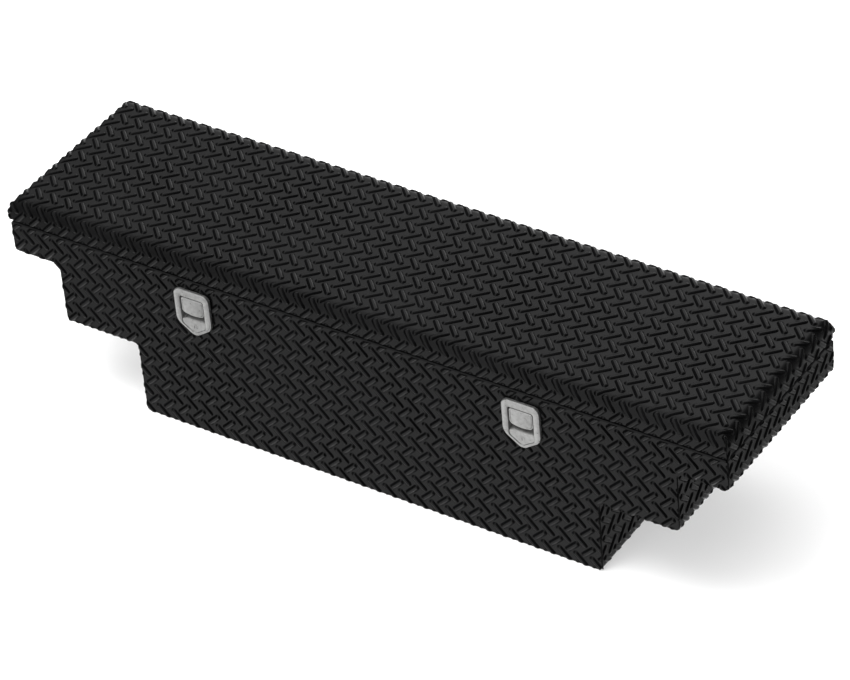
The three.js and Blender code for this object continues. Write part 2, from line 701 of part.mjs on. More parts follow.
// Turns a solid drawn along +Y from the origin so that it lies on the strut's line.
function onStrut(solid, x) {
  return solid.rotate([STRUT_ANGLE, 0, 0]).translate([x, ...STRUT_FOOT]);
}

function strutEye(x, distance, radius, bore, neckFrom, neckTo, neck) {
  const round = tubeAlong([distance, 0], radius, bore, "X", -eyeHalf, eyeHalf, 20);
  const collar = rod([0, 0], neck, "Y", neckFrom, neckTo, 14);
  const hole = rod([distance, 0], bore, "X", -20, 20, 20);
  return onStrut(cut(join(round, collar), hole), x);
}

function tubBracket(x, side) {
  const wall = side * (halfL - SHEET - FIT);
  const low = Math.min(wall, wall - side * 3);
  const [y, z] = STRUT_FOOT;
  const outline = rounded(rectangle(y - 11, z - 16, y + 13, z + 16), 4, 2);
  const plate = extrude(outline, "X", low, low + 3);
  const studEnd = x - side * (eyeHalf + 3);
  const stud = rod([y, z], footStud, "X", Math.min(wall, studEnd), Math.max(wall, studEnd), 14);
  const collarEnd = x + side * (eyeHalf + 1);
  const collar = rod([y, z], 6, "X", Math.min(wall, collarEnd), Math.max(wall, collarEnd), 14);
  return join(plate, stud, collar);
}

function lidBracket(x, side) {
  const [y, z] = STRUT_HEAD;
  const top = PAN_Z - FIT;
  const inboard = x - side * (eyeHalf + 3.5);
  const low = Math.min(inboard, inboard - side * 3);
  const web = extrude([[y - 8, z - 8], [y + 8, z - 8], [y + 22, top], [y - 22, top]], "X", low, low + 3);
  const footLow = Math.min(inboard, inboard - side * 24);
  const foot = block([footLow, y - 22, top - 3], [footLow + 24, y + 22, top]);
  const studEnd = x + side * (eyeHalf + 2.5);
  const stud = rod([y, z], headStud, "X", Math.min(inboard, studEnd), Math.max(inboard, studEnd), 14);
  return join(web, foot, stud);
}

for (const [name, side] of SIDES) {
  const x = side * STRUT_X;
  const bored = cut(
    rod([0, 0], strutTube, "Y", tubeStart, tubeEnd, 18),
    rod([0, 0], strutBore, "Y", rodStart - 6, tubeEnd + 5, 14),
  );
  const head = STRUT_LENGTH;
  add(name + "_strut_tub_bracket", tubBracket(x, side), zinc);
  add(name + "_strut_lid_bracket", lidBracket(x, side), zinc);
  const tubeEye = strutEye(x, 0, footEye, footStud + FIT, 4, tubeStart - FIT, 5);
  const rodEye = strutEye(x, head, headEye, headEyeBore, head - 16 + FIT, head - 5, 5);
  const slider = rod([0, 0], strutRod, "Y", rodStart, head - 16, 14);
  add(name + "_strut_tube_eye", tubeEye, nylon);
  add(name + "_strut_tube", onStrut(bored, x), nylon);
  add(name + "_strut_rod", onStrut(slider, x), chrome);
  add(name + "_strut_rod_eye", rodEye, nylon);
}

export default toolBox;
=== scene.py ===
# %% [markdown]
# # A truck tool box in black tread plate
# The box hangs across a pickup's bed rails. Its tub is stepped, its one lid is hinged along the back, and
# two paddle latches on the front hold it shut. The CAD frame gives every place. This file gives the looks:
# raised lugs on every sheet, a lid with soft bends, cast latches, a riveted hinge and the finishes.

import math

import bmesh
import bpy
from mathutils import Matrix, Vector


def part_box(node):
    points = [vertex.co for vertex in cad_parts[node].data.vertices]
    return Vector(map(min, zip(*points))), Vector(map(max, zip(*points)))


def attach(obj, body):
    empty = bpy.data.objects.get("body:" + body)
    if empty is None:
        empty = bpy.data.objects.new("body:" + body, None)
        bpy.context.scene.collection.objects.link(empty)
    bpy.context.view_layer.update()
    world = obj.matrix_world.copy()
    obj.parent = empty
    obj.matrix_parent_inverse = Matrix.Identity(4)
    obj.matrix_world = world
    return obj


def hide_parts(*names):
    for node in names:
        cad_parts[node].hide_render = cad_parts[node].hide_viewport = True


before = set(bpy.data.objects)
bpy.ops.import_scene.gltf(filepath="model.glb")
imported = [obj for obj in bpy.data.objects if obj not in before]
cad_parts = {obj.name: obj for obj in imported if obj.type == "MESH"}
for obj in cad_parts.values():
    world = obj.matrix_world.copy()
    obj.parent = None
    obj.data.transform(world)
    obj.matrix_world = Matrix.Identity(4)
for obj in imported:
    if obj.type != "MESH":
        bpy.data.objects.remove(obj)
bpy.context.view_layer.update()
MM = 0.001

# %% [markdown]
# A few lengths carry all the others. The lid and the front panel give their own places, and the steps of
# the tub are repeated here because a box round a node can't tell where its steps are.

# %% Measure the sheets
lid_low, lid_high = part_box("lid_skin")
half_length = lid_high.x
half_depth = lid_high.y
top_z = lid_high.z
skirt_z = lid_low.z
SHEET = 3 * MM
UPSTAND = 11 * MM
rim_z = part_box("front_panel")[1].z - UPSTAND
LID_BEND = 24 * MM
RAIL_SHELF_Z = 333 * MM
LEDGE_Z = 182.5 * MM
RAIL_STEP = 119 * MM
WELL_STEP = 190.5 * MM
OUT_BEND = 8 * MM
IN_BEND = 12 * MM
RIM_ROUND = 4.5 * MM
middle_half = half_length - RAIL_STEP
lower_half = middle_half - WELL_STEP
print("rim at", round(rim_z / MM, 1), "mm, lid from", round(skirt_z / MM, 1), "to", round(top_z / MM, 1),
      "mm")

# %% [markdown]
# ## Finishes
# Each finish is a small graph of nodes. Noise on Object coordinates, which are metres here, breaks up the
# colour, the roughness and the surface, so a scale of 700 gives grains a little over a millimetre across.
# One helper makes the graph, and each finish is then a few numbers that a painter or a plater would
# recognise.

# %% A helper for finishes
def add_noise(nodes, links, place, scale, detail, stretch=None):
    """A noise texture on Object coordinates, squeezed along an axis where the finish is brushed."""
    noise = nodes.new("ShaderNodeTexNoise")
    noise.inputs["Scale"].default_value = scale
    noise.inputs["Detail"].default_value = detail
    source = place
    if stretch:
        mapping = nodes.new("ShaderNodeMapping")
        mapping.inputs["Scale"].default_value = stretch
        links.new(place, mapping.inputs["Vector"])
        source = mapping.outputs["Vector"]
    links.new(source, noise.inputs["Vector"])
    return noise.outputs["Fac"]


def finish(name, dark, light, roughness, metallic=0.0, grain=700, bump=0.1, depth=0.1, patch=9,
           stretch=None, specular=0.5, cells=False):
    """A finish whose colour lies between two tones, and whose roughness lies between two values."""
    material = bpy.data.materials.new(name)
    material.use_nodes = True
    nodes = material.node_tree.nodes
    links = material.node_tree.links
    shader = nodes["Principled BSDF"]
    shader.inputs["Metallic"].default_value = metallic
    shader.inputs["Specular IOR Level"].default_value = specular
    place = nodes.new("ShaderNodeTexCoord").outputs["Object"]
    blotches = add_noise(nodes, links, place, patch, 6)
    fine = add_noise(nodes, links, place, grain, 3, stretch)
    tones = nodes.new("ShaderNodeValToRGB")
    tones.color_ramp.elements[0].position = 0.35
    tones.color_ramp.elements[0].color = (*dark, 1)
    tones.color_ramp.elements[1].position = 0.68
    tones.color_ramp.elements[1].color = (*light, 1)
    links.new(blotches, tones.inputs["Fac"])
    links.new(tones.outputs["Color"], shader.inputs["Base Color"])
    gloss = nodes.new("ShaderNodeMapRange")
    gloss.inputs["From Min"].default_value = 0.3
    gloss.inputs["From Max"].default_value = 0.7
    gloss.inputs["To Min"].default_value = roughness[0]
    gloss.inputs["To Max"].default_value = roughness[1]
    links.new(blotches if not stretch else fine, gloss.inputs["Value"])
    links.new(gloss.outputs["Result"], shader.inputs["Roughness"])
    relief = nodes.new("ShaderNodeBump")
    relief.inputs["Strength"].default_value = bump
    relief.inputs["Distance"].default_value = depth * MM
    height = fine
    if cells:
        bubbles = nodes.new("ShaderNodeTexVoronoi")
        bubbles.inputs["Scale"].default_value = grain
        links.new(place, bubbles.inputs["Vector"])
        height = bubbles.outputs["Distance"]
    links.new(height, relief.inputs["Height"])
    links.new(relief.outputs["Normal"], shader.inputs["Normal"])
    return material

# %% [markdown]
# The sheets are aluminium tread plate under black powder coat: almost black, with a satin gloss and the
# faint orange peel of cured powder. The latches are cast and tumbled, the hinge is brushed stainless steel,
# the catches are zinc plated, and the struts have chromed rods.

# %% Make the finishes
black_coat = finish("black_powder_coat", (0.0013, 0.0013, 0.0014), (0.0030, 0.0030, 0.0032), (0.24, 0.33),
                    grain=650, bump=0.12, depth=0.06, patch=7, specular=0.16)
cast_satin = finish("satin_cast_metal", (0.31, 0.31, 0.305), (0.42, 0.42, 0.415), (0.26, 0.40),
                    metallic=0.9, grain=1500, bump=0.2, depth=0.05, patch=110)
brushed_steel = finish("brushed_steel", (0.50, 0.50, 0.49), (0.58, 0.58, 0.57), (0.26, 0.42),
                       metallic=1.0, grain=900, bump=0.15, depth=0.03, patch=12, stretch=(0.04, 1, 1))
zinc_plate = finish("zinc_plate", (0.42, 0.43, 0.42), (0.56, 0.56, 0.52), (0.28, 0.45),
                    metallic=1.0, grain=500, bump=0.12, depth=0.05, patch=45)
chrome_rod = finish("chrome_rod", (0.70, 0.70, 0.71), (0.76, 0.76, 0.77), (0.05, 0.12),
                    metallic=1.0, grain=1200, bump=0.05, depth=0.02, patch=30)
rubber = finish("black_rubber", (0.010, 0.010, 0.010), (0.020, 0.020, 0.020), (0.62, 0.8),
                grain=1400, bump=0.3, depth=0.08, patch=25, specular=0.35)
foam = finish("insulating_foam", (0.58, 0.46, 0.22), (0.70, 0.58, 0.32), (0.85, 0.95),
              grain=420, bump=0.7, depth=0.5, patch=30, cells=True, specular=0.2)
black_nylon = finish("black_nylon", (0.010, 0.010, 0.011), (0.018, 0.018, 0.019), (0.4, 0.52),
                     grain=1600, bump=0.2, depth=0.05, patch=20)
FINISH_OF_SLOT = {
    "black_coat": black_coat,
    "stainless": brushed_steel,
    "zinc_plate": zinc_plate,
    "chrome_rod": chrome_rod,
    "rubber": rubber,
    "foam": foam,
    "black_nylon": black_nylon,
}
print("finishes:", ", ".join(sorted(FINISH_OF_SLOT)))

# %% [markdown]
# Each node of the frame arrives with a plain material that is named after its slot in the record. It is
# exchanged for the finish of that slot, and the latches' outside parts take the cast finish.

# %% Put the finishes on the frame
CAST_PARTS = ("latch_bezel", "paddle", "lock_plug")
for node_name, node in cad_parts.items():
    slot = node.data.materials[0].name
    is_cast = node_name.endswith(CAST_PARTS)
    node.data.materials[0] = cast_satin if is_cast else FINISH_OF_SLOT[slot]
print("painted", len(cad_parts), "nodes")

# %% [markdown]
# ## From a bmesh to a piece
# A bmesh is Blender's editable mesh. Each piece below is shaped in one, in its final place, and this helper
# turns it into an object that rides on a body of the frame. Faces that meet at more than the given angle
# keep a crisp edge, and the others are shaded as one smooth surface.

# %% The piece helper
def make_piece(name, bm, material, body, crisp=35):
    mesh = bpy.data.meshes.new(name)
    bm.to_mesh(mesh)
    bm.free()
    mesh.materials.append(material)
    if crisp:
        mesh.shade_smooth()
        mesh.set_sharp_from_angle(angle=math.radians(crisp))
    piece = bpy.data.objects.new(name, mesh)
    bpy.context.scene.collection.objects.link(piece)
    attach(piece, body)
    return piece

# %% [markdown]
# ## The raised lug
# Tread plate is rolled with raised bars that have steep flanks, flat tops and blunt ends. A lug could be a
# bump in the shading, but it shows in the outline of the box, so it is real geometry. It starts as a flat
# slab with rounded ends. Its top face is inset and raised twice: once for the flank and once for the soft
# shoulder. Forty faces are enough, because there are more than two thousand lugs.

# %% Shape one lug
LUG_LENGTH = 46 * MM
LUG_WIDTH = 14.5 * MM
LUG_RELIEF = 3.0 * MM
LUG_FLANK = 4.3 * MM  # how far the flank leans in
LUG_SHOULDER = 0.9 * MM
LUG_ROOT = 0.8 * MM  # how deep the slab starts inside the sheet


def shape_lug():
    bm = bmesh.new()
    bmesh.ops.create_cube(bm, size=1)
    bmesh.ops.scale(bm, verts=bm.verts, vec=(LUG_LENGTH, LUG_WIDTH, LUG_ROOT))
    bmesh.ops.translate(bm, verts=bm.verts, vec=(0, 0, -LUG_ROOT / 2))
    posts = [edge for edge in bm.edges if edge.calc_length() < LUG_ROOT * 1.1]
    bmesh.ops.bevel(bm, geom=posts, offset=LUG_WIDTH * 0.42, segments=2, profile=0.5, affect="EDGES",
                    material=-1)
    for face in bm.faces:
        face.smooth = True
    top = max(bm.faces, key=lambda face: face.calc_center_median().z)
    bmesh.ops.inset_individual(bm, faces=[top], thickness=LUG_FLANK, depth=LUG_RELIEF * 0.86)
    bmesh.ops.inset_individual(bm, faces=[top], thickness=LUG_SHOULDER, depth=LUG_RELIEF * 0.14)
    for edge in top.edges:
        edge.smooth = False
    return bm


lug = shape_lug()
print("one lug has", len(lug.faces), "faces")

# %% [markdown]
# The lugs lie at 45 degrees. Rows that lean one way alternate with rows that lean the other way, half a
# pitch along. A field is laid out flat, in distances along and up the sheet, as the mill rolls it.

# %% Lay out a field of lugs
PITCH = 39.39 * MM
ROW = 52.52 * MM
MARGIN = 20 * MM


def lug_places(low, high, phase):
    """The centre and the lean of every lug that touches the rectangle from low to high."""
    for lean, shift in ((1, 0.0), (-1, 0.5)):
        first_row = math.floor((low[1] - MARGIN - phase[1]) / ROW)
        last_row = math.ceil((high[1] + MARGIN - phase[1]) / ROW)
        first = math.floor((low[0] - MARGIN - phase[0]) / PITCH)
        last = math.ceil((high[0] + MARGIN - phase[0]) / PITCH)
        for row in range(first_row, last_row + 1):
            for column in range(first, last + 1):
                yield phase[0] + (column + shift) * PITCH, phase[1] + (row + shift) * ROW, lean

# %% [markdown]
# The plate is cut after it is rolled, so a lug at an edge is cut with it. Each lug is trimmed by planes and
# closed again. A sheet is described as one or more convex areas, and a hole as one more area that a lug
# must stay out of. Each area is a list of half planes: a point on the line and the direction that leads out
# of the area.

# %% Trim a lug
def trim(bm, point, outward):
    """Cuts away what lies beyond a plane, and closes the cut."""
    if all((vert.co - point).dot(outward) <= 1e-6 for vert in bm.verts):
        return
    everything = bm.verts[:] + bm.edges[:] + bm.faces[:]
    bmesh.ops.bisect_plane(bm, geom=everything, dist=1e-6, plane_co=point, plane_no=outward, clear_outer=True)
    rim = [edge for edge in bm.edges if edge.is_boundary]
    for edge in rim:
        edge.smooth = False
    bmesh.ops.holes_fill(bm, edges=rim, sides=0)


def beyond(verts, half_plane):
    point, outward = half_plane
    return [(vert.co - point).dot(outward) for vert in verts]


def inside_count(verts, area):
    """How many of the points lie inside every half plane of the area."""
    slack = 0.3 * MM
    return sum(all(d <= slack for d in distances) for distances in zip(*(beyond(verts, h) for h in area)))


def fit_to_sheet(bm, areas, holes):
    """Trims a lug to the area that holds most of it, clear of the holes. False if nothing is left."""
    verts = bm.verts[:]
    whole = all(any(inside_count([vert], area) for area in areas) for vert in verts)
    if not whole:
        best = max(areas, key=lambda area: inside_count(verts, area))
        if inside_count(verts, best) < 4:
            return False
        for point, outward in best:
            trim(bm, point, outward)
    for hole in holes:
        if any(min(beyond(bm.verts, side)) >= 0 for side in hole):
            continue
        side = max(hole, key=lambda half_plane: sum(beyond(bm.verts, half_plane)))
        if sum(distance > 0 for distance in beyond(bm.verts, side)) < 4:
            return False
        trim(bm, side[0], -side[1])
    return len(bm.faces) > 3

# %% [markdown]
# A field of lugs becomes one piece. Each lug is trimmed while it still lies flat, and then it is folded: a
# function takes a distance along the sheet, a distance up it and a height off it, and gives the place in
# space. A flat panel only turns the lug, and a bend wraps it round the corner.

# %% Build a field of lugs
def bend(one, place):
    for vert in one.verts:
        vert.co = place(*vert.co)
    return [one]


def score(one, lines):
    """Cuts a flat lug along the lines where the sheet curves, so that it can follow the curve."""
    for point, across in lines:
        offsets = [(vert.co - point).dot(across) for vert in one.verts]
        if min(offsets) < 0 < max(offsets):
            everything = one.verts[:] + one.edges[:] + one.faces[:]
            bmesh.ops.bisect_plane(one, geom=everything, dist=1e-5, plane_co=point, plane_no=across)


def grow_lugs(name, body, low, high, phase, areas, holes, lines, fold):
    """One piece that holds all the lugs of one sheet. fold takes a flat lug and gives its folded parts."""
    field = bmesh.new()
    scratch = bpy.data.meshes.new("scratch")
    count = 0
    for along, up, lean in lug_places(low, high, phase):
        one = lug.copy()
        turn = Matrix.Rotation(lean * math.pi / 4, 3, "Z")
        bmesh.ops.rotate(one, verts=one.verts, cent=(0, 0, 0), matrix=turn)
        bmesh.ops.translate(one, verts=one.verts, vec=(along, up, 0))
        if not fit_to_sheet(one, areas, holes):
            one.free()
            continue
        score(one, lines)
        for part in fold(one):
            part.to_mesh(scratch)
            field.from_mesh(scratch)
            part.free()
            count += 1
    bpy.data.meshes.remove(scratch)
    bmesh.ops.recalc_face_normals(field, faces=field.faces)
    print(name, "has", count, "lugs and", len(field.faces), "faces")
    return make_piece(name, field, black_coat, body, crisp=None)


def half_plane(u, v, out_u, out_v):
    return Vector((u, v, 0)), Vector((out_u, out_v, 0)).normalized()


def box_area(low_u, low_v, high_u, high_v, corner=0.0):
    """A rectangle as half planes. corner cuts the two low corners where the sheet is rounded."""
    sides = [
        half_plane(low_u, low_v, -1, 0),
        half_plane(high_u, high_v, 1, 0),
        half_plane(low_u, low_v, 0, -1),
        half_plane(high_u, high_v, 0, 1),
    ]
    if corner:
        drawn = corner * (1 - math.sqrt(0.5))
        sides.append(half_plane(low_u + drawn, low_v + drawn, -1, -1))
        sides.append(half_plane(high_u - drawn, low_v + drawn, 1, -1))
    return sides

# %% [markdown]
# ## The tub's front and back
# Both panels have the stepped outline: wide over the bed rails, narrower below them, and narrowest between
# the wheel wells. Three overlapping rectangles describe it. The two latch holes are five-sided like the
# bezels. The back panel is the front one turned round, without holes, and its lugs stop under the hinge.

# %% Lugs on the front and back panels
LATCH_X = 410 * MM
BEZEL_WIDTH = 92 * MM
bezel_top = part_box("left_latch_bezel")[1].z
bezel_shoulder = bezel_top - 87 * MM
bezel_tip = bezel_top - 119 * MM
EDGE = 0.6 * MM


def panel_areas(high):
    return [
        box_area(-half_length + EDGE, RAIL_SHELF_Z + EDGE, half_length - EDGE, high, OUT_BEND),
        box_area(-middle_half + EDGE, LEDGE_Z + EDGE, middle_half - EDGE, high, OUT_BEND),
        box_area(-lower_half + EDGE, EDGE, lower_half - EDGE, high, OUT_BEND),
    ]


def latch_hole(centre):
    """The bezel's outline, drawn in a little, as half planes."""
    inside = 4 * MM
    half = BEZEL_WIDTH / 2 - inside
    slope = bezel_shoulder - bezel_tip
    reach = BEZEL_WIDTH / 2
    return [
        half_plane(centre - half, 0, -1, 0),
        half_plane(centre + half, 0, 1, 0),
        half_plane(centre, bezel_top - inside, 0, 1),
        half_plane(centre, bezel_tip + inside, -slope, -reach),
        half_plane(centre, bezel_tip + inside, slope, -reach),
    ]


def on_front(along, up, height):
    return Vector((along, -half_depth - height, up))


def on_back(along, up, height):
    return Vector((-along, half_depth + height, up))


panel_start = (-half_length, 0)
panel_end = (half_length, rim_z)
front_phase = (-2.4 * MM, 353.3 * MM)
front_top = rim_z - RIM_ROUND
grow_lugs("front_lugs", "tub", panel_start, panel_end, front_phase, panel_areas(front_top),
          [latch_hole(-LATCH_X), latch_hole(LATCH_X)], [], lambda one: bend(one, on_front))
hinge_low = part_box("hinge_leaf_tub")[0].z
back_phase = (4 * MM, 340 * MM)
grow_lugs("back_lugs", "tub", panel_start, panel_end, back_phase, panel_areas(hinge_low - 1 * MM), [], [],
          lambda one: bend(one, on_back))

# %% [markdown]
# ## The stepped ends
# One folded strip makes each end: down the band, in under the rail shelf, down the middle wall, in under
# the ledge and down to the floor. The fold function walks along that strip, straight, then round a bend,
# and so on. Lugs on a bend wrap round it. The left end is the right one turned half a turn about the box's
# middle.

# %% Lugs on the ends
END_PATH = [
    (half_length, rim_z),
    (half_length, RAIL_SHELF_Z),
    (middle_half, RAIL_SHELF_Z),
    (middle_half, LEDGE_Z),
    (lower_half, LEDGE_Z),
    (lower_half, 0.0),
]


def strip_stretches():
    """Straight runs and quarter bends along the strip: (kind, length, start, heading, radius, turn)."""
    stretches = []
    start = Vector(END_PATH[0])
    for number in range(1, len(END_PATH)):
        corner = Vector(END_PATH[number])
        heading = (corner - start).normalized()
        last = number == len(END_PATH) - 1
        outward = number % 2 == 1
        radius = 0.0 if last else (OUT_BEND if outward else IN_BEND)
        length = (corner - start).length - radius
        stretches.append(("run", length, start.copy(), heading, 0.0, 0))
        if last:
            break
        start = start + heading * length
        turn = -1 if outward else 1
        stretches.append(("bend", radius * math.pi / 2, start.copy(), heading, radius, turn))
        side = Vector((-heading.y, heading.x)) * turn
        start = start + (heading + side) * radius
    return stretches


STRETCHES = strip_stretches()
strip_length = sum(stretch[1] for stretch in STRETCHES)


def on_strip(along, height):
    """The place, as x and z, at a distance down the right end's strip."""
    left = along
    for stretch in STRETCHES:
        kind, length, start, heading, radius, turn = stretch
        if left <= length or stretch is STRETCHES[-1]:
            break
        left -= length
    outward = Vector((-heading.y, heading.x))
    if kind == "run":
        return start + heading * left + outward * height
    angle = left / radius
    centre = start + outward * turn * radius
    out = -outward * turn
    turned = Matrix.Rotation(angle * turn, 2) @ out
    return centre + turned * (radius - height * turn)


def on_right_end(along, up, height):
    place = on_strip(up, height)
    return Vector((place.x, along, place.y))


def on_left_end(along, up, height):
    place = on_strip(up, height)
    return Vector((-place.x, -along, place.y))


def strip_lines():
    """Lines across the strip, at the ends of each bend and at two places inside it."""
    lines = []
    begin = 0.0
    for stretch in STRETCHES:
        kind, length = stretch[:2]
        if kind == "bend":
            lines += [half_plane(0, begin + length * part / 3, 0, 1) for part in range(4)]
        begin += length
    return lines


end_half = half_depth - SHEET - EDGE
end_area = [box_area(-end_half, RIM_ROUND, end_half, strip_length - OUT_BEND)]
end_phase = (3 * MM, 8 * MM)
for end_name, fold_end in (("right_end_lugs", on_right_end), ("left_end_lugs", on_left_end)):
    grow_lugs(end_name, "tub", (-end_half, 0), (end_half, strip_length), end_phase, end_area, [],
              strip_lines(), lambda one: bend(one, fold_end))
print("each end strip is", round(strip_length / MM), "mm long")

# %% [markdown]
# ## The lid
# The lid is one sheet folded down on four sides and welded along the mitres at its corners. A cube is the
# start: its top edges are bevelled with the bend's radius, the mitres get a small weld radius, the bottom
# is opened, and the shell is given the sheet's thickness.

# %% Shape the lid's shell
WELD_RADIUS = 2.2 * MM
SKIRT_TRIM = 1.8 * MM  # the skirt's edge is dressed back by this much, which opens the seam over the tub
skirt_edge = skirt_z + SKIRT_TRIM


def shape_lid():
    bm = bmesh.new()
    bmesh.ops.create_cube(bm, size=1)
    low = Vector((lid_low.x, lid_low.y, skirt_edge))
    bmesh.ops.scale(bm, verts=bm.verts, vec=lid_high - low)
    bmesh.ops.translate(bm, verts=bm.verts, vec=(lid_high + low) / 2)
    bottom = [face for face in bm.faces if face.normal.z < -0.9]
    bmesh.ops.delete(bm, geom=bottom, context="FACES_ONLY")
    top_edges = [edge for edge in bm.edges if all(vert.co.z > top_z - 1e-6 for vert in edge.verts)]
    bmesh.ops.bevel(bm, geom=top_edges, offset=LID_BEND, segments=10, profile=0.5, affect="EDGES",
                    material=-1)
    mitre = half_length - half_depth
    seams = [edge for edge in bm.edges if edge.calc_length() < half_depth
             and all(abs(abs(vert.co.x) - abs(vert.co.y) - mitre) < 1e-5 for vert in edge.verts)]
    bmesh.ops.bevel(bm, geom=seams, offset=WELD_RADIUS, segments=3, profile=0.5, affect="EDGES", material=-1)
    bmesh.ops.solidify(bm, geom=bm.faces[:], thickness=SHEET)
    return bm


shell = shape_lid()
print("lid shell from", [round(min(v.co[i] for v in shell.verts) / MM, 1) for i in range(3)],
      "to", [round(max(v.co[i] for v in shell.verts) / MM, 1) for i in range(3)])
lid_shell = make_piece("lid_shell", shell, black_coat, "lid", crisp=28)
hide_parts("lid_skin")

# %% [markdown]
# The lid's pattern runs over the front, back and end bends. A lug near a corner would cross the mitre, so
# it is folded both ways and each part is trimmed at the mitre, as a welder finds it when the folds meet.

# %% Lugs on the lid
flat_x = half_length - LID_BEND
flat_y = half_depth - LID_BEND
BEND_RUN = LID_BEND * math.pi / 2
flap = BEND_RUN + top_z - LID_BEND - skirt_edge


def over_bend(beyond_bend, height):
    """How far out and how high a point is that lies the given distance beyond the start of a bend."""
    if beyond_bend <= 0:
        return beyond_bend, top_z + height
    if beyond_bend <= BEND_RUN:
        angle = beyond_bend / LID_BEND
        reach = LID_BEND + height
        return reach * math.sin(angle), top_z - LID_BEND + reach * math.cos(angle)
    return LID_BEND + height, top_z - LID_BEND - (beyond_bend - BEND_RUN)


def fold_across(x, y, height):
    out, z = over_bend(abs(y) - flat_y, height)
    return Vector((x, math.copysign(flat_y + out, y), z))


def fold_endways(x, y, height):
    out, z = over_bend(abs(x) - flat_x, height)
    return Vector((math.copysign(flat_x + out, x), y, z))


def fold_lid_lug(one):
    over_end = any(abs(vert.co.x) > flat_x for vert in one.verts)
    over_side = any(abs(vert.co.y) > flat_y for vert in one.verts)
    if not (over_end and over_side):
        return bend(one, fold_across if over_side else fold_endways)
    one.verts.ensure_lookup_table()
    corner = [math.copysign(1, one.verts[0].co[i]) for i in range(2)]
    point = Vector((corner[0] * flat_x, corner[1] * flat_y, 0))
    parts = []
    for place, keep in ((fold_across, 1), (fold_endways, -1)):
        part = one.copy()
        bend(part, place)
        trim(part, point, Vector((corner[0], -corner[1], 0)).normalized() * keep)
        if len(part.faces) > 3:
            parts.append(part)
    return parts


SKIRT_CLEAR = 0.8 * MM  # from the lugs to the skirt's edge
lid_start = (-flat_x - flap, -flat_y - flap)
lid_end = (flat_x + flap, flat_y + BEND_RUN - 1 * MM)
lid_phase = (5.9 * MM, -38.2 * MM)
lid_area = [box_area(lid_start[0] + SKIRT_CLEAR, lid_start[1] + SKIRT_CLEAR, lid_end[0] - SKIRT_CLEAR,
                     lid_end[1])]
bend_steps = [BEND_RUN * part / 4 for part in range(5)]
lid_lines = [half_plane(0, end * (flat_y + run), 0, 1) for end in (-1, 1) for run in bend_steps]
lid_lines += [half_plane(end * (flat_x + run), 0, 1, 0) for end in (-1, 1) for run in bend_steps]
grow_lugs("lid_lugs", "lid", lid_start, lid_end, lid_phase, lid_area, [], lid_lines, fold_lid_lug)

# %% [markdown]
# ## The paddle latches
# Each latch has a bezel with a raised rim, and a pocket behind the paddle whose floor slopes out towards
# the point at the bottom. Two outlines with the same corners carry it. The outer one is extruded and then
# inset in small steps, which turns its edge over. The inner one is the mouth of the pocket. Bridging the
# two loops makes the flat rim between them.

# %% Outlines for the latches
bezel_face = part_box("left_latch_bezel")[0].y
bezel_back = -half_depth - 1.8 * MM
pocket_half = 31.5 * MM
pocket_top = bezel_top - 16.4 * MM
pocket_floor = -half_depth + 16 * MM


def outline_face(bm, corners, radii, y, segments=5):
    """A flat face that looks to the front, with rounded corners. Each corner is an x and a z."""
    made = bmesh.ops.create_circle(bm, cap_ends=True, segments=len(corners), radius=1)
    verts = made["verts"]
    for vert, (x, z) in zip(verts, corners):
        vert.co = (x, y, z)
    face = verts[0].link_faces[0]
    face.normal_update()
    if face.normal.y > 0:
        face.normal_flip()
    for vert, radius in zip(verts, radii):
        bmesh.ops.bevel(bm, geom=[vert], offset=radius, segments=segments, profile=0.5, affect="VERTICES",
                        material=-1, clamp_overlap=True)
    return [face for face in bm.faces if all(abs(vert.co.y - y) < 1e-7 for vert in face.verts)][-1]


def step_in(bm, face, steps):
    """Insets a face again and again. Each step is how far in and how far out, in millimetres."""
    for inward, outward in steps:
        bmesh.ops.inset_individual(bm, faces=[face], thickness=inward * MM, depth=outward * MM)
    return face


def latch_corners(centre, drawn, top, side):
    """The five corners: square at the top and pointed below. drawn is the inset along the slopes."""
    shoulder = bezel_shoulder + drawn * 0.2
    tip = bezel_tip + drawn * 1.2
    slope = (shoulder - tip) / (BEZEL_WIDTH / 2 - drawn)
    low = tip + slope * side
    left, right = centre - side, centre + side
    return [(right, top), (left, top), (left, low), (centre, tip), (right, low)]


# %% [markdown]
# The pocket is one face to begin with. Planes score it across, a narrow inset leaves a ring that becomes
# the wall, and each point inside the ring is pushed back by a depth that depends on its height: little at
# the point of the bezel, all of it behind the paddle. The floor has no window for the paddle's tongue, and
# the bezel no bore for the lock, so those two pass through it.

# %% Shape a bezel
SLOPE_LOW = 64 * MM  # from the pocket's top down to the foot of its slope
SLOPE_RUN = 12 * MM  # how far up the slope reaches
LOW_SET_BACK = 1.4 * MM  # how far the floor below the slope lies behind the face
BEZEL_SHEET = 1.4 * MM


def pocket_depth(z):
    share = min(max((z - pocket_top + SLOPE_LOW) / SLOPE_RUN, 0), 1)
    smooth = share * share * (3 - 2 * share)
    return bezel_face + LOW_SET_BACK + smooth * (pocket_floor - bezel_face - LOW_SET_BACK)


